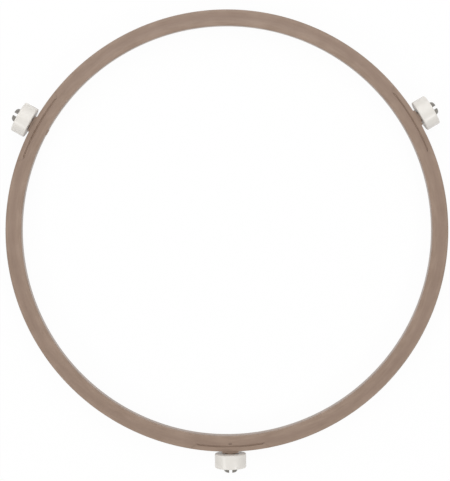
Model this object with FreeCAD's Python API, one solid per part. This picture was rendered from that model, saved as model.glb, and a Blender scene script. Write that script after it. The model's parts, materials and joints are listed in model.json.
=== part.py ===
import FreeCAD, Part
import math
import os

from FreeCAD import Vector

# Roller ring that lets an oven's glass tray turn: a moulded ring with three split snap pins,
# and a roller that runs free on each pin. Millimetres and degrees, +Z up. The origin lies on
# the ring's axis, at the floor that the rollers stand on.

# Rollers
roller_diameter = 14.0
roller_width = 6.3
roller_edge_radius = 0.45
roller_rim_wall = 1.5
roller_hub_wall = 1.4
roller_recess_depth = 0.8
bore_clearance = 0.08
bore_chamfer = 0.3

# Section of the ring, an upside-down channel
ring_outer_diameter = 196.0
ring_width = 7.1
ring_height = 5.8
ring_top_radius = 0.5
ring_side_wall = 1.6
ring_top_wall = 1.7
channel_draft = 2.0

# Cross ribs in the channel, and the solid anchor behind each pin
ribs_between_pins = 5
rib_thickness = 1.2
rib_setback = 0.6
anchor_length = 10.0

# Step that the mould's slider leaves in the ring's top at each pin
ledge_inset = 2.75
ledge_depth = 0.3
ledge_half_length = 15.2
ledge_end_slant = 2.5

# Shoulder that keeps a roller off the ring
shoulder_width = 7.4
shoulder_reach = 0.75
shoulder_drop = 0.15
shoulder_corner_radius = 0.5

# Split pin with two barbed prongs
pin_diameter = 4.8
roller_float = 0.8
barb_overhang = 0.65
barb_length = 1.85
barb_flat_height = 4.2
tip_radius = 1.45
slot_width = 1.4
slot_root_gap = 1.0

# Direction of each pin, and the share of its float that the roller has moved outwards
front_angle = -90.0
right_angle = 30.0
left_angle = 150.0
front_float_share = 0.54
right_float_share = 0.7
left_float_share = 0.45

# Sizes that follow from the ones above
axle_height = roller_diameter / 2
ring_outer_radius = ring_outer_diameter / 2
ring_inner_radius = ring_outer_radius - ring_width
ring_bottom = axle_height - ring_height / 2
ring_top = axle_height + ring_height / 2
ledge_level = ring_top - ledge_depth
channel_inner_radius = ring_inner_radius + ring_side_wall
channel_outer_radius = ring_outer_radius - ring_side_wall
channel_top = ring_top - ring_top_wall
pin_radius = pin_diameter / 2
pin_root = channel_outer_radius
shoulder_face = ring_outer_radius + shoulder_reach
catch_face = shoulder_face + roller_width + roller_float
barb_radius = pin_radius + barb_overhang
pin_tip = catch_face + barb_length
stations = {
    "front": (front_angle, front_float_share),
    "right": (right_angle, right_float_share),
    "left": (left_angle, left_float_share),
}

# Room that a cutting solid reaches past the solid that it cuts
overcut = 1.0

# Radius above which a turned rounding takes a third bevel
wide_rounding = 1.0

origin = Vector(0, 0, 0)
x_axis = Vector(1, 0, 0)
z_axis = Vector(0, 0, 1)


def corner_points(corners, i, chords):
    """Points on the arc that rounds a corner of (point, radius), at even steps."""
    point, radius = corners[i]
    back = (corners[i - 1][0] - point).normalize()
    ahead = (corners[(i + 1) % len(corners)][0] - point).normalize()
    half_angle = back.getAngle(ahead) / 2
    outward = (back + ahead).normalize() * -1
    across = (ahead - back).normalize()
    centre = point - outward * (radius / math.sin(half_angle))
    turn = math.pi / 2 - half_angle
    points = []
    for step in range(chords + 1):
        angle = turn * (2 * step / chords - 1)
        points.append(centre + (outward * math.cos(angle) + across * math.sin(angle)) * radius)
    return points


def revolved(corners, axis):
    """Solid turned about an axis through the origin from (x, z, radius) corners.

    Two bevels along its arc stand for each rounding, and three for a wide one, because that
    keeps a turned edge true to a few hundredths of a millimetre with cones alone.
    """
    places = [(Vector(x, 0, z), radius) for x, z, radius in corners]
    points = []
    for i, (point, radius) in enumerate(places):
        chords = 3 if radius > wide_rounding else 2
        points += corner_points(places, i, chords) if radius > 0 else [point]
    wire = Part.makePolygon(points + points[:1])
    return Part.Face(wire).revolve(origin, axis, 360)


def upright(corners, bottom, top):
    """Solid with upright sides from (x, y, radius) corners, each rounded by an arc."""
    places = [(Vector(x, y, bottom), radius) for x, y, radius in corners]
    arcs = [corner_points(places, i, 2) for i in range(len(places))]
    edges = []
    for i, (start, middle, end) in enumerate(arcs):
        if places[i][1] > 0:
            edges.append(Part.Arc(start, middle, end).toShape())
        edges.append(Part.LineSegment(end, arcs[(i + 1) % len(arcs)][0]).toShape())
    return Part.Face(Part.Wire(edges)).extrude(Vector(0, 0, top - bottom))


def turned(shape, angle):
    """Copy of a shape turned about the ring's axis."""
    copy = shape.copy()
    copy.rotate(origin, z_axis, angle)
    return copy


def at_arc(radius, length):
    """Point on a circle about the ring's axis, an arc length away from the X axis."""
    angle = length / radius
    return Vector(radius * math.cos(angle), radius * math.sin(angle), 0)


def ring_band():
    """Ring with its top edges rounded, before its channel is cut."""
    return revolved(
        [
            (ring_inner_radius, ring_bottom, 0),
            (ring_outer_radius, ring_bottom, 0),
            (ring_outer_radius, ring_top, ring_top_radius),
            (ring_inner_radius, ring_top, ring_top_radius),
        ],
        z_axis,
    )


def cross_wall(thickness, bottom):
    """Straight wall across the channel on the X axis."""
    length = channel_outer_radius - channel_inner_radius + 2 * overcut
    corner = Vector(channel_inner_radius - overcut, -thickness / 2, bottom)
    return Part.makeBox(length, thickness, channel_top - bottom + overcut, corner)


def channel_pockets():
    """Hollow of the channel, parted by the cross ribs and by the anchors of the pins."""
    draft = math.tan(math.radians(channel_draft))
    narrowing = (channel_top - ring_bottom) * draft
    flare = overcut * draft
    hollow = revolved(
        [
            (channel_inner_radius - flare, ring_bottom - overcut, 0),
            (channel_outer_radius + flare, ring_bottom - overcut, 0),
            (channel_outer_radius - narrowing, channel_top, 0),
            (channel_inner_radius + narrowing, channel_top, 0),
        ],
        z_axis,
    )
    rib = cross_wall(rib_thickness, ring_bottom + rib_setback)
    anchor = cross_wall(anchor_length, ring_bottom - 2 * overcut)
    spaces = ribs_between_pins + 1
    pitch = 360 / len(stations) / spaces
    walls = []
    for angle, _ in stations.values():
        walls.append(turned(anchor, angle))
        walls += [turned(rib, angle + i * pitch) for i in range(1, spaces)]
    return hollow.cut(walls)


def slider_ledge():
    """Shallow step in the ring's top beside the pin on the X axis, with slanted ends."""
    line_radius = ring_outer_radius - ledge_inset
    outside = ring_outer_radius + overcut
    slant = ledge_end_slant * (ledge_inset + overcut) / ledge_inset
    edge_length = (ledge_half_length + slant) * outside / line_radius
    line_end = at_arc(line_radius, ledge_half_length)
    line_start = at_arc(line_radius, -ledge_half_length)
    edge_end = at_arc(outside, edge_length)
    edge_start = at_arc(outside, -edge_length)
    outline = [
        Part.Arc(line_start, at_arc(line_radius, 0), line_end).toShape(),
        Part.LineSegment(line_end, edge_end).toShape(),
        Part.Arc(edge_end, at_arc(outside, 0), edge_start).toShape(),
        Part.LineSegment(edge_start, line_start).toShape(),
    ]
    step = Part.Face(Part.Wire(outline)).extrude(Vector(0, 0, ledge_depth + overcut))
    step.translate(Vector(0, 0, ledge_level))
    return step


def shoulder():
    """Block between the ring's outer wall and the roller's hub, on the X axis."""
    half = shoulder_width / 2
    corners = [
        (pin_root, -half, 0),
        (shoulder_face, -half, shoulder_corner_radius),
        (shoulder_face, half, shoulder_corner_radius),
        (pin_root, half, 0),
    ]
    return upright(corners, ring_bottom, ledge_level - shoulder_drop)


def barb_flats():
    """Two blocks that flatten the barb above and below, so that it passes the roller's bore."""
    length = barb_length + overcut
    height = barb_radius + overcut
    levels = (barb_flat_height / 2, -barb_flat_height / 2 - height)
    corners = [Vector(catch_face, -height, level) for level in levels]
    return [Part.makeBox(length, 2 * height, height, corner) for corner in corners]


def pin_slot():
    """Upright slot with a round root, which parts the pin into two springy prongs."""
    half = slot_width / 2
    depth = 2 * (barb_radius + overcut)
    root = shoulder_face + slot_root_gap + half
    length = pin_tip + overcut - root
    groove = Part.makeBox(length, slot_width, depth, Vector(root, -half, -depth / 2))
    end = Part.makeCylinder(half, depth, Vector(root, 0, -depth / 2), z_axis)
    return [groove, end]


def snap_pin():
    """Split pin with two barbed prongs, on the X axis at the axle's height."""
    pin = revolved(
        [
            (pin_root, 0, 0),
            (pin_root, pin_radius, 0),
            (catch_face, pin_radius, 0),
            (catch_face, barb_radius, 0),
            (pin_tip, barb_radius, tip_radius),
            (pin_tip, 0, 0),
        ],
        x_axis,
    )
    pin = pin.cut(barb_flats() + pin_slot())
    pin.translate(Vector(0, 0, axle_height))
    return pin


def carrier_ring():
    """Ring, shoulders and split pins as the one moulding that they are."""
    angles = [angle for angle, _ in stations.values()]
    ring = ring_band().cut([channel_pockets()] + [turned(slider_ledge(), angle) for angle in angles])
    stubs = [shoulder(), snap_pin()]
    return ring.fuse([turned(stub, angle) for angle in angles for stub in stubs]).removeSplitter()


def roller(angle, float_share):
    """Roller in its place on the pin at an angle.

    Its outer face has a recessed ring, and its bore a chamfer inside that leads it over the barbs.
    """
    radius = roller_diameter / 2
    rim = radius - roller_rim_wall
    bore = pin_radius + bore_clearance
    hub = bore + roller_hub_wall
    deep = roller_recess_depth
    far = roller_width
    body = revolved(
        [
            (0, radius, roller_edge_radius),
            (far, radius, roller_edge_radius),
            (far, rim, 0),
            (far - deep, rim, 0),
            (far - deep, hub, 0),
            (far, hub, 0),
            (far, bore, 0),
            (bore_chamfer, bore, 0),
            (0, bore + bore_chamfer, 0),
        ],
        x_axis,
    )
    body.translate(Vector(shoulder_face + float_share * roller_float, 0, axle_height))
    return turned(body, angle)


os.makedirs("parts", exist_ok=True)
carrier_ring().exportStep("parts/carrier_ring.step")
for name, (angle, float_share) in stations.items():
    roller(angle, float_share).exportStep(f"parts/{name}_roller.step")
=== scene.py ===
import json
import math

import bmesh
import bpy
from mathutils import Matrix, Vector

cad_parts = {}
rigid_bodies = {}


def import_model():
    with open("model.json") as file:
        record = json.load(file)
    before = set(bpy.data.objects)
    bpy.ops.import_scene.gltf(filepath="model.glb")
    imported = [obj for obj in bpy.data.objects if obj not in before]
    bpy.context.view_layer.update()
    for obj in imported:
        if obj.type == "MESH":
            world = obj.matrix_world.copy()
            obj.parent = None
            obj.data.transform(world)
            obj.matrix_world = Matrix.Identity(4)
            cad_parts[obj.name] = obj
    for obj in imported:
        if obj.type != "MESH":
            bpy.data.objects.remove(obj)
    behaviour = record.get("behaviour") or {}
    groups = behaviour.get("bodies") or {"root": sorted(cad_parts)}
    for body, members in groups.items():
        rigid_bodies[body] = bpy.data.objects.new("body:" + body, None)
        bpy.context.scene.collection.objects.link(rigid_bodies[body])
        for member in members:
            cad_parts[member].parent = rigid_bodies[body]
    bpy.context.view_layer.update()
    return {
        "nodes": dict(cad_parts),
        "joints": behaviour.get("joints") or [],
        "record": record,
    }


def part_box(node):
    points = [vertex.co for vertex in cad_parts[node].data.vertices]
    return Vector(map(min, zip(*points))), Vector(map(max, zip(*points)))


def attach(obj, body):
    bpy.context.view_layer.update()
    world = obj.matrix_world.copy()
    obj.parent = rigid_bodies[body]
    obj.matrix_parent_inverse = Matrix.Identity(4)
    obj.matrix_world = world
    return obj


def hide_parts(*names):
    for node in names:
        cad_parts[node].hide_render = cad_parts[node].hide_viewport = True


# Looks of a microwave oven's roller ring: the ring as one moulding with three split pins, a roller on
# each pin, and the stage that shows them. Metres and radians, +Z up, in the frame of the CAD part.

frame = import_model()

MM = 0.001

# Places that the frame gives
joints = frame["joints"]
hub_opening = next(m for m in frame["record"]["mounts"] if m["name"] == "hub_opening")
ring_low, ring_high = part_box("carrier_ring")
inner_radius = hub_opening["dims"]["r_mm"] * MM
ring_bottom = ring_low.z
ring_top = ring_high.z
axle_height = joints[0]["pos_m"][2]
station_axes = {joint["child"]: Vector(joint["axis"]) for joint in joints}
front_axis = station_axes["front_roller"]
left_axis = station_axes["left_roller"]
first_station = math.atan2(front_axis.y, front_axis.x)
gate_angle = math.atan2(left_axis.y, left_axis.x)
pin_tip = max(vertex.co.dot(front_axis) for vertex in frame["nodes"]["carrier_ring"].data.vertices)

# Section of the ring, an upside-down channel with a slight sink along the middle of its top
ring_width = 7.1 * MM
outer_radius = inner_radius + ring_width
top_rounding = 0.5 * MM
foot_rounding = 0.4 * MM
side_wall = 1.6 * MM
top_wall = 1.7 * MM
channel_draft = math.radians(2)
channel_rounding = 0.35 * MM
sink_depth = 0.035 * MM
sink_width = 4.6 * MM
sink_radius = 95.0 * MM
sink_points = 16
ring_segments = 480

# Ribs in the channel and the solid anchor behind each pin
rib_spaces = 6
rib_thickness = 1.2 * MM
rib_setback = 0.6 * MM
anchor_length = 10.0 * MM

# Step that the mould's slider leaves beside each pin, and the fine groove along its inner border
ledge_inset = 2.75 * MM
ledge_depth = 0.3 * MM
ledge_half_length = 15.2 * MM
ledge_end_slant = 2.5 * MM
ledge_arc_steps = 24
groove_width = 0.8 * MM
groove_foot = 0.2 * MM
groove_depth = 0.3 * MM

# Shoulder and split pin
shoulder_width = 7.4 * MM
shoulder_reach = 0.75 * MM
shoulder_rounding = 0.5 * MM
shoulder_drop = 0.15 * MM
pin_radius = 2.4 * MM
barb_radius = 3.05 * MM
barb_length = 1.85 * MM
barb_flat_height = 4.2 * MM
tip_rounding = 1.45 * MM
slot_width = 1.4 * MM
slot_root_gap = 1.0 * MM
slot_arc_steps = 12
pin_segments = 64
pin_root = outer_radius - side_wall
shoulder_face = outer_radius + shoulder_reach
catch_face = pin_tip - barb_length

# Marks of the mould: the gate's stub inside the ring and an ejector's print on its top
gate_width = 2.7 * MM
gate_reach = 0.45 * MM
gate_height = 2.0 * MM
print_radius = 94.4 * MM
print_length = 1.6 * MM
print_width = 0.8 * MM
print_depth = 0.4 * MM
print_arc_steps = 8

# Rollers
rim_wall = 1.5 * MM
hub_wall = 1.4 * MM
recess_depth = 0.8 * MM
recess_rounding = 0.2 * MM
roller_rounding = 0.45 * MM
bore_clearance = 0.08 * MM
bore_radius = pin_radius + bore_clearance
bore_rounding = 0.3 * MM
roller_segments = 128

# Shared by all solids
rounding_steps = 6
weld_distance = 0.001 * MM
crease_angle = math.radians(30)

# How far a cutter reaches past the solid that it cuts, and how far it overlaps the next cutter or a
# face that it runs along, so that no thin film stays between them
overcut = 1.0 * MM
lap = 0.02 * MM

# Finish of the ring
ring_dark = "#8C7666"
ring_light = "#9B8575"
# Painted shade along the middle of the ring's top, over its slight sink
ring_sink_shade = "#867062"
# Painted shade: the darker grey of the prongs' ends
prong_shade_grey = "#827E78"
ring_cloud_size = 9 * MM
streak_length = 7 * MM
streak_width = 0.7 * MM
mottle_spread = 0.3
# How far the painted shade darkens the middle of the top
sink_shade_strength = 0.5
# Length over which the prongs' painted shade fades in
prong_shade_fade = 0.3 * MM
grain_size = 0.45 * MM
grain_depth = 0.03 * MM
grain_strength = 0.12
ring_roughness = 0.28
ring_ior = 1.5

# Finish of the rollers
roller_dark = "#E3DFD8"
roller_light = "#E8E4DE"
roller_cloud_size = 3 * MM
roller_roughness = 0.25
roller_ior = 1.48
scatter_weight = 0.1
scatter_depth = 1.0 * MM

# Camera, with its lens matched to a frame of 450 by 481 pixels
camera_place = (0.0012, 0.038, 0.7525)
camera_turn = [math.radians(angle) for angle in (-3.213, 0.108, -0.931)]
camera_lens = 125.83
camera_sensor = 36.0

# Floor, the shares of full white that it shows to the camera and in glossy surfaces, and the sky
floor_size = 6.0
floor_paper_colour = "#FAFAFA"
full_white = "#FFFFFF"
floor_white = 0.96
floor_gleam = 0.5
sky_strength = 0.5

# Name, place, width and power in watts of each lamp, which faces the origin
lamps = [
    ("window_side", (-0.04, 0.46, 0.52), 0.75, 2.4),
    ("left_side", (-0.566, -0.547, 0.658), 0.28, 1.1),
    ("front_left", (-0.737, -0.288, 0.664), 0.28, 0.8),
    ("right_side", (0.534, -0.499, 0.72), 0.28, 1.9),
]


def linear(hex_colour):
    """Linear RGBA of an sRGB hex colour."""
    channels = [int(hex_colour[i:i + 2], 16) / 255 for i in (1, 3, 5)]
    red, green, blue = [c / 12.92 if c <= 0.04045 else ((c + 0.055) / 1.055) ** 2.4 for c in channels]
    return red, green, blue, 1.0


def add(tree, kind, inputs=None, **settings):
    """Node of a kind with its settings made and inputs set or linked; returns its first live output."""
    node = tree.nodes.new(kind)
    for name, value in settings.items():
        setattr(node, name, value)
    live = [socket for socket in node.inputs if socket.enabled]
    for key, value in (inputs or {}).items():
        socket = live[key] if isinstance(key, int) else next(s for s in live if s.name == key)
        sources = value if isinstance(value, list) else [value]
        for source in sources:
            if isinstance(source, bpy.types.NodeSocket):
                tree.links.new(source, socket)
            else:
                socket.default_value = source
    return next((socket for socket in node.outputs if socket.enabled), None)


def geometry_tree(name, inputs):
    """Geometry tree with its named inputs; returns it with the sockets that it is given."""
    tree = bpy.data.node_groups.new(name, "GeometryNodeTree")
    tree.interface.new_socket("Geometry", in_out="OUTPUT", socket_type="NodeSocketGeometry")
    tree.interface.new_socket("Geometry", in_out="INPUT", socket_type="NodeSocketGeometry")
    for label, kind in inputs.items():
        tree.interface.new_socket(label, in_out="INPUT", socket_type="NodeSocket" + kind)
    return tree, tree.nodes.new("NodeGroupInput").outputs


def end_tree(tree, geometry, material):
    """Closes the seams of a tree's geometry and hands it on as one mesh in its material."""
    plain = add(tree, "GeometryNodeRealizeInstances", {"Geometry": geometry})
    welded = add(tree, "GeometryNodeMergeByDistance", {"Geometry": plain, "Distance": weld_distance})
    dressed = add(tree, "GeometryNodeSetMaterial", {"Geometry": welded, "Material": material})
    add(tree, "NodeGroupOutput", {"Geometry": dressed})


def turned_solid_tree():
    """Upright section with rounded corners, swept round the vertical axis."""
    inputs = {"Sweep Radius": "Float", "Segments": "Int", "Material": "Material"}
    tree, given = geometry_tree("turned_solid", inputs)
    outline = add(tree, "GeometryNodeMeshToCurve", {"Mesh": given["Geometry"]})
    rounding = add(tree, "GeometryNodeInputNamedAttribute", {"Name": "rounding"}, data_type="FLOAT")
    corners = {"Curve": outline, "Count": rounding_steps, "Radius": rounding, "Limit Radius": True}
    rounded = add(tree, "GeometryNodeFilletCurve", corners, mode="POLY")
    inward = add(tree, "ShaderNodeMath", {0: 0.0, 1: given["Sweep Radius"]}, operation="SUBTRACT")
    offset = add(tree, "ShaderNodeCombineXYZ", {"X": inward})
    laid = {"Geometry": rounded, "Translation": offset, "Rotation": (math.pi / 2, 0, 0)}
    profile = add(tree, "GeometryNodeTransform", laid)
    circle = {"Resolution": given["Segments"], "Radius": given["Sweep Radius"]}
    path = add(tree, "GeometryNodeCurvePrimitiveCircle", circle)
    swept = add(tree, "GeometryNodeCurveToMesh", {"Curve": path, "Profile Curve": profile})
    end_tree(tree, swept, given["Material"])
    return tree


def moulding_tree():
    """Solid with pieces fused to it and cut from it, each copied evenly round the vertical axis."""
    inputs = {
        "Fused": "Collection",
        "Cut": "Collection",
        "Copies": "Int",
        "First Angle": "Float",
        "Material": "Material",
    }
    tree, given = geometry_tree("moulding", inputs)
    points = add(tree, "GeometryNodeMeshLine", {"Count": given["Copies"], "Offset": (0, 0, 0)})
    step = add(tree, "ShaderNodeMath", {0: math.tau, 1: given["Copies"]}, operation="DIVIDE")
    index = add(tree, "GeometryNodeInputIndex")
    turn = {0: index, 1: step, 2: given["First Angle"]}
    angle = add(tree, "ShaderNodeMath", turn, operation="MULTIPLY_ADD")
    rotation = add(tree, "ShaderNodeCombineXYZ", {"Z": angle})
    copies = {}
    for role in ("Fused", "Cut"):
        children = {"Collection": given[role], "Separate Children": True}
        pieces = add(tree, "GeometryNodeCollectionInfo", children)
        placed = {"Points": points, "Instance": pieces, "Rotation": rotation}
        sets = add(tree, "GeometryNodeInstanceOnPoints", placed)
        single = {"Geometry": sets, "Realize All": False, "Depth": 1}
        copies[role] = add(tree, "GeometryNodeRealizeInstances", single)
    both = {"Mesh": [given["Geometry"], copies["Fused"]]}
    whole = add(tree, "GeometryNodeMeshBoolean", both, operation="UNION", solver="MANIFOLD")
    parts = {"Mesh 1": whole, "Mesh 2": copies["Cut"]}
    cut = add(tree, "GeometryNodeMeshBoolean", parts, operation="DIFFERENCE", solver="MANIFOLD")
    end_tree(tree, cut, given["Material"])
    return tree


def in_scene(name, data):
    """New object of a mesh, a lamp or a camera, at the origin of the scene."""
    made = bpy.data.objects.new(name, data)
    bpy.context.scene.collection.objects.link(made)
    return made


def made_by(tree, source, sizes):
    """Plain mesh that a geometry tree makes of a source mesh, with the tree's named inputs set."""
    holder = in_scene(tree.name, source)
    modifier = holder.modifiers.new(tree.name, "NODES")
    modifier.node_group = tree
    for item in tree.interface.items_tree:
        if item.name in sizes:
            modifier[item.identifier] = sizes[item.name]
    shown = holder.evaluated_get(bpy.context.evaluated_depsgraph_get())
    mesh = bpy.data.meshes.new_from_object(shown)
    bpy.data.objects.remove(holder)
    return mesh


def turned(name, corners, segments, material):
    """Solid of (radius, height, rounding) corners turned about the vertical axis."""
    section = bpy.data.meshes.new(name)
    count = len(corners)
    edges = [(i, (i + 1) % count) for i in range(count)]
    section.from_pydata([(radius, 0, height) for radius, height, _ in corners], edges, [])
    rounding = section.attributes.new("rounding", "FLOAT", "POINT")
    rounding.data.foreach_set("value", [corner[2] for corner in corners])
    widest = max(radius for radius, _, _ in corners)
    sizes = {"Sweep Radius": widest, "Segments": segments, "Material": material}
    mesh = made_by(turned_solid, section, sizes)
    outward(mesh)
    return mesh


def moulded(base, fused, cut, copies, first_angle, material):
    """Base mesh with copies of other meshes fused to it and cut from it, the first at an angle."""
    groups = {}
    for role, meshes in (("Fused", fused), ("Cut", cut)):
        groups[role] = bpy.data.collections.new(role)
        for mesh in meshes:
            groups[role].objects.link(bpy.data.objects.new(mesh.name, mesh))
    sizes = {**groups, "Copies": copies, "First Angle": first_angle, "Material": material}
    made = made_by(moulding, base, sizes)
    for group in groups.values():
        for part in list(group.objects):
            bpy.data.objects.remove(part)
        bpy.data.collections.remove(group)
    return made


def outward(mesh):
    """Turns the faces of a closed mesh outwards."""
    work = bmesh.new()
    work.from_mesh(mesh)
    bmesh.ops.recalc_face_normals(work, faces=work.faces)
    work.to_mesh(mesh)
    work.free()


def prism(name, outline, bottom, top, upper=None):
    """Solid between a flat outline and another above it, or the same one if none is given."""
    count = len(outline)
    points = [(x, y, bottom) for x, y in outline]
    points += [(x, y, top) for x, y in (upper or outline)]
    sides = [(i, (i + 1) % count, count + (i + 1) % count, count + i) for i in range(count)]
    mesh = bpy.data.meshes.new(name)
    mesh.from_pydata(points, [], [range(count), range(count, 2 * count), *sides])
    outward(mesh)
    return mesh


def rectangle(x_low, x_high, half_width):
    """Outline of a rectangle that lies evenly on both sides of the X axis."""
    return [(x_low, -half_width), (x_high, -half_width), (x_high, half_width), (x_low, half_width)]


def arc(centre, radius, start, end, steps):
    """Points on an arc about a centre, from one angle to another."""
    angles = [start + (end - start) * i / steps for i in range(steps + 1)]
    return [(centre[0] + radius * math.cos(a), centre[1] + radius * math.sin(a)) for a in angles]


def ring_band(material):
    """Ring's plain channel section, swept round."""
    channel_inner = inner_radius + side_wall
    channel_outer = outer_radius - side_wall
    channel_top = ring_top - top_wall
    narrowing = (channel_top - ring_bottom) * math.tan(channel_draft)
    sink = []
    for i in range(sink_points + 1):
        across = i / sink_points - 0.5
        depth = sink_depth * (1 + math.cos(math.tau * across)) / 2
        sink.append((sink_radius + across * sink_width, ring_top - depth, 0))
    corners = [
        (inner_radius, ring_bottom, foot_rounding),
        (inner_radius, ring_top, top_rounding),
        *sink,
        (outer_radius, ring_top, top_rounding),
        (outer_radius, ring_bottom, foot_rounding),
        (channel_outer, ring_bottom, foot_rounding),
        (channel_outer - narrowing, channel_top, channel_rounding),
        (channel_inner + narrowing, channel_top, channel_rounding),
        (channel_inner, ring_bottom, foot_rounding),
    ]
    return turned("band", corners, ring_segments, material)


def cross_wall(name, thickness, bottom):
    """Wall across the channel, which reaches a little into its sides and its top."""
    bite = side_wall / 2
    outline = rectangle(inner_radius + bite, outer_radius - bite, thickness / 2)
    return prism(name, outline, bottom, ring_top - top_wall / 2)


def ledge_line(inset):
    """Inner border of the slider's step beside a pin, moved some way into the step."""
    radius = outer_radius - ledge_inset + inset
    half_angle = (ledge_half_length - inset) / radius
    return arc((0, 0), radius, half_angle, -half_angle, ledge_arc_steps)


def slider_ledge():
    """Shallow step in the ring's top beside a pin, with slanted ends, and the groove along its border."""
    level = ring_top - ledge_depth
    border = outer_radius - ledge_inset
    mouth_radius = shoulder_face + overcut
    slant = ledge_end_slant * (mouth_radius - border) / ledge_inset
    half_mouth = (ledge_half_length + slant) / border
    mouth = arc((0, 0), mouth_radius, -half_mouth, half_mouth, ledge_arc_steps)
    step = prism("step", ledge_line(0) + mouth, level, ring_top + overcut)
    flank = (groove_width - groove_foot) / 2
    foot = ledge_line(flank) + ledge_line(flank + groove_foot)[::-1]
    brim = ledge_line(0) + ledge_line(groove_width)[::-1]
    groove = prism("groove", foot, level - groove_depth, level + lap, brim)
    return [step, groove]


def shoulder():
    """Block between the ring's outer wall and the roller's hub."""
    half = shoulder_width / 2
    x = shoulder_face - shoulder_rounding
    y = half - shoulder_rounding
    outline = [(pin_root, -half)]
    outline += arc((x, -y), shoulder_rounding, -math.pi / 2, 0, rounding_steps)
    outline += arc((x, y), shoulder_rounding, 0, math.pi / 2, rounding_steps)
    outline += [(pin_root, half)]
    return prism("shoulder", outline, ring_bottom, ring_top - ledge_depth - shoulder_drop)


def split_pin(material):
    """Pin with two barbed prongs, which lies along the X axis at the axle's height."""
    corners = [
        (0, pin_root, 0),
        (pin_radius, pin_root, 0),
        (pin_radius, catch_face, 0),
        (barb_radius, catch_face, 0),
        (barb_radius, pin_tip, tip_rounding),
        (0, pin_tip, 0),
    ]
    blank = turned("pin", corners, pin_segments, material)
    blank.transform(Matrix.Translation((0, 0, axle_height)) @ Matrix.Rotation(math.pi / 2, 4, "Y"))
    reach = barb_radius + overcut
    beyond = pin_tip + overcut
    root = shoulder_face + slot_root_gap + slot_width / 2
    outline = [(beyond, -slot_width / 2), (beyond, slot_width / 2)]
    outline += arc((root, 0), slot_width / 2, math.pi / 2, 3 * math.pi / 2, slot_arc_steps)
    slot = prism("slot", outline, axle_height - reach, axle_height + reach)
    tip = rectangle(catch_face - lap, beyond, reach)
    flat = barb_flat_height / 2
    upper_flat = prism("upper_flat", tip, axle_height + flat, axle_height + reach)
    lower_flat = prism("lower_flat", tip, axle_height - reach, axle_height - flat)
    return moulded(blank, [], [slot, upper_flat, lower_flat], 1, 0.0, material)


def gate_stub():
    """Stub that the trimmed gate leaves on the ring's inner wall."""
    outline = rectangle(inner_radius - gate_reach, inner_radius + side_wall / 2, gate_width / 2)
    top = ring_top - top_rounding
    return prism("gate_stub", outline, top - gate_height, top)


def ejector_print():
    """Shallow oblong print of an ejector in the ring's top."""
    end = (print_length - print_width) / 2
    outline = arc((print_radius, end), print_width / 2, 0, math.pi, print_arc_steps)
    outline += arc((print_radius, -end), print_width / 2, math.pi, math.tau, print_arc_steps)
    return prism("ejector_print", outline, ring_top - print_depth, ring_top + overcut)


def ring_moulding(material):
    """Ring with its ribs, anchors, shoulders, pins and ledges as the one moulding that it is."""
    rib = cross_wall("rib", rib_thickness, ring_bottom + rib_setback)
    anchor = cross_wall("anchor", anchor_length, ring_bottom)
    ribbed = moulded(ring_band(material), [rib], [], rib_spaces * len(joints), first_station, material)
    fused = [anchor, shoulder(), split_pin(material)]
    whole = moulded(ribbed, fused, slider_ledge(), len(joints), first_station, material)
    gated = moulded(whole, [gate_stub()], [], 1, gate_angle, material)
    return moulded(gated, [], [ejector_print()], 1, first_station, material)


def roller(body, material):
    """Roller in its place on the pin, with a recessed ring in its outer face."""
    axis = station_axes[body]
    along = [vertex.co.dot(axis) for vertex in frame["nodes"][body].data.vertices]
    near = min(along)
    far = max(along)
    low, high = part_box(body)
    radius = (high.z - low.z) / 2
    rim = radius - rim_wall
    hub = bore_radius + hub_wall
    corners = [
        (radius, near, roller_rounding),
        (radius, far, roller_rounding),
        (rim, far, recess_rounding),
        (rim, far - recess_depth, recess_rounding),
        (hub, far - recess_depth, recess_rounding),
        (hub, far, recess_rounding),
        (bore_radius, far, 0),
        (bore_radius, near, bore_rounding),
    ]
    mesh = turned(body, corners, roller_segments, material)
    facing = axis.to_track_quat("Z", "Y").to_matrix().to_4x4()
    mesh.transform(Matrix.Translation((0, 0, axle_height)) @ facing)
    return mesh


def plastic(name, roughness, ior):
    """New material of a shine; returns it with its tree, its shader and the place on the piece."""
    material = bpy.data.materials.new(name)
    material.use_nodes = True
    tree = material.node_tree
    shader = tree.nodes["Principled BSDF"]
    shader.inputs["Roughness"].default_value = roughness
    shader.inputs["IOR"].default_value = ior
    place = tree.nodes.new("ShaderNodeTexCoord").outputs["Object"]
    return material, tree, shader, place


def flow_streaks(tree, place, flat, radius):
    """Faint streaks round the ring, along which the melt's flow has laid the glass fibres."""
    direction = add(tree, "ShaderNodeVectorMath", {0: flat}, operation="NORMALIZE")
    height = add(tree, "ShaderNodeVectorMath", {0: place, 1: (0, 0, 1)}, operation="DOT_PRODUCT")
    across = add(tree, "ShaderNodeMath", {0: radius, 1: height})
    lane = add(tree, "ShaderNodeMath", {0: across, 1: streak_width}, operation="DIVIDE")
    turns = (sink_radius / streak_length,) * 3
    flow = {0: direction, 1: turns, 2: add(tree, "ShaderNodeCombineXYZ", {"Z": lane})}
    course = add(tree, "ShaderNodeVectorMath", flow, operation="MULTIPLY_ADD")
    return add(tree, "ShaderNodeTexNoise", {"Vector": course, "Scale": 1.0, "Detail": 2.0})


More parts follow.
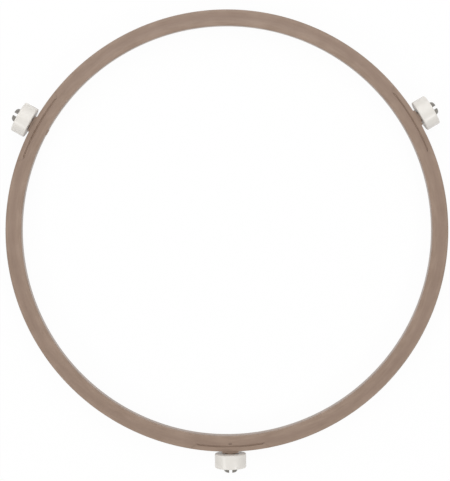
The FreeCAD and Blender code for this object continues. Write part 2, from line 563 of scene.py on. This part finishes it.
def ring_plastic():
    """Glass-filled PPS, moulded: satin brown-grey, a little cloudy and streaked, with a fine grain and
    some painted shade.
    """
    material, tree, shader, place = plastic("moulded_glass_filled_pps", ring_roughness, ring_ior)
    flat = add(tree, "ShaderNodeVectorMath", {0: place, 1: (1, 1, 0)}, operation="MULTIPLY")
    radius = add(tree, "ShaderNodeVectorMath", {0: flat}, operation="LENGTH")
    cloud_pattern = {"Vector": place, "Scale": 1 / ring_cloud_size, "Detail": 3.0}
    clouds = add(tree, "ShaderNodeTexNoise", cloud_pattern)
    # Two noises add up to about one, so the mottle spreads evenly to both sides of it
    mottle = add(tree, "ShaderNodeMath", {0: clouds, 1: flow_streaks(tree, place, flat, radius)})
    spread = {"Value": mottle, "From Min": 1 - mottle_spread, "From Max": 1 + mottle_spread}
    share = add(tree, "ShaderNodeMapRange", spread)
    hues = {"Factor": share, "A": linear(ring_dark), "B": linear(ring_light)}
    colour = add(tree, "ShaderNodeMix", hues, data_type="RGBA")
    # Painted shade: the colour turns darker towards the middle of the top, as the shade of its slight
    # sink
    offset = add(tree, "ShaderNodeMath", {0: radius, 1: sink_radius}, operation="SUBTRACT")
    away = add(tree, "ShaderNodeMath", {0: offset}, operation="ABSOLUTE")
    sink_shade_spread = {"Value": away, "From Max": sink_width / 2, "To Min": sink_shade_strength, "To Max": 0.0}
    sink_shaded = {"Factor": add(tree, "ShaderNodeMapRange", sink_shade_spread), "A": colour, "B": linear(ring_sink_shade)}
    colour = add(tree, "ShaderNodeMix", sink_shaded, data_type="RGBA")
    # Painted shade: the prongs' ends are darker and greyer than the ring, where they curve away in the
    # rollers' shadow
    end = {"Value": radius, "From Min": catch_face - prong_shade_fade, "From Max": catch_face}
    prong_shaded = {"Factor": add(tree, "ShaderNodeMapRange", end), "A": colour, "B": linear(prong_shade_grey)}
    colour = add(tree, "ShaderNodeMix", prong_shaded, data_type="RGBA")
    tree.links.new(colour, shader.inputs["Base Color"])
    # Grain of about 0.05 mm, drawn nine times as coarse so that it shows
    grain = add(tree, "ShaderNodeTexNoise", {"Vector": place, "Scale": 1 / grain_size, "Detail": 2.0})
    relief = {"Height": grain, "Strength": grain_strength, "Distance": grain_depth}
    tree.links.new(add(tree, "ShaderNodeBump", relief), shader.inputs["Normal"])
    return material


def roller_plastic():
    """Acetal, moulded: smooth off-white with a soft shine, faint clouds and a little depth."""
    material, tree, shader, place = plastic("moulded_acetal", roller_roughness, roller_ior)
    cloud_pattern = {"Vector": place, "Scale": 1 / roller_cloud_size, "Detail": 2.0}
    clouds = add(tree, "ShaderNodeTexNoise", cloud_pattern)
    hues = {"Factor": clouds, "A": linear(roller_dark), "B": linear(roller_light)}
    colour = add(tree, "ShaderNodeMix", hues, data_type="RGBA")
    tree.links.new(colour, shader.inputs["Base Color"])
    # Light enters the acetal a little way, alike in all colours, and softens its shades
    shader.inputs["Subsurface Weight"].default_value = scatter_weight
    shader.inputs["Subsurface Radius"].default_value = (1, 1, 1)
    shader.inputs["Subsurface Scale"].default_value = scatter_depth
    return material


def piece(name, mesh, body):
    """Finished piece that rides on a body in a material slot."""
    mesh.shade_smooth()
    mesh.set_sharp_from_angle(angle=crease_angle)
    made = in_scene(name, mesh)
    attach(made, body)
    return made


def shown_share(tree, to_camera, to_gloss):
    """A share for the camera's own rays, another for those off glossy surfaces, none for the rest."""
    path = tree.nodes.new("ShaderNodeLightPath").outputs
    gloss = add(tree, "ShaderNodeMath", {0: path["Is Glossy Ray"], 1: to_gloss}, operation="MULTIPLY")
    both = {0: path["Is Camera Ray"], 1: to_camera, 2: gloss}
    return add(tree, "ShaderNodeMath", both, operation="MULTIPLY_ADD")


def floor_paper():
    """White paper, matte: bright to the eye, with only a trace of shadow left on it."""
    material = bpy.data.materials.new("matte_white_paper")
    material.use_nodes = True
    tree = material.node_tree
    paper = add(tree, "ShaderNodeBsdfDiffuse", {"Color": linear(floor_paper_colour)})
    glow = add(tree, "ShaderNodeEmission", {"Color": linear(full_white)})
    shown = shown_share(tree, floor_white, floor_gleam)
    mixed = add(tree, "ShaderNodeMixShader", {0: shown, 1: paper, 2: glow})
    tree.links.new(mixed, tree.nodes["Material Output"].inputs["Surface"])
    return material


def sky():
    """Even white light from all sides, which shows as full white."""
    world = bpy.data.worlds.new("studio")
    world.use_nodes = True
    tree = world.node_tree
    background = tree.nodes["Background"]
    shown = shown_share(tree, 1 - sky_strength, 1 - sky_strength)
    strength = add(tree, "ShaderNodeMath", {0: shown, 1: sky_strength})
    tree.links.new(strength, background.inputs["Strength"])
    background.inputs["Color"].default_value = linear(full_white)
    bpy.context.scene.world = world


def floor():
    """Pale floor that the rollers stand on."""
    half = floor_size / 2
    mesh = bpy.data.meshes.new("floor")
    mesh.from_pydata([(x, y, 0) for x, y in rectangle(-half, half, half)], [], [range(4)])
    mesh.materials.append(floor_paper())
    in_scene("floor", mesh)


def lighting():
    """Broad lamp behind the ring, as a window would be, and three small ones towards the front."""
    for name, place, width, power in lamps:
        lamp = bpy.data.lights.new(name, "AREA")
        lamp.size = width
        lamp.energy = power
        stand = in_scene(name, lamp)
        stand.location = place
        stand.rotation_euler = Vector(place).to_track_quat("Z", "Y").to_euler()


def camera():
    """Camera that looks down on the ring from a little behind its middle."""
    lens = bpy.data.cameras.new("camera")
    lens.lens = camera_lens
    lens.sensor_width = camera_sensor
    made = in_scene("camera", lens)
    made.location = camera_place
    made.rotation_euler = camera_turn
    bpy.context.scene.camera = made


bpy.context.scene.view_settings.view_transform = "Standard"
camera()
sky()
floor()
lighting()
turned_solid = turned_solid_tree()
moulding = moulding_tree()
ring_finish = ring_plastic()
roller_finish = roller_plastic()
ring = piece("ring_moulding", ring_moulding(ring_finish), "ring")
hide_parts("carrier_ring")
for body in station_axes:
    made_roller = piece(body + "_moulding", roller(body, roller_finish), body)
    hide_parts(body)
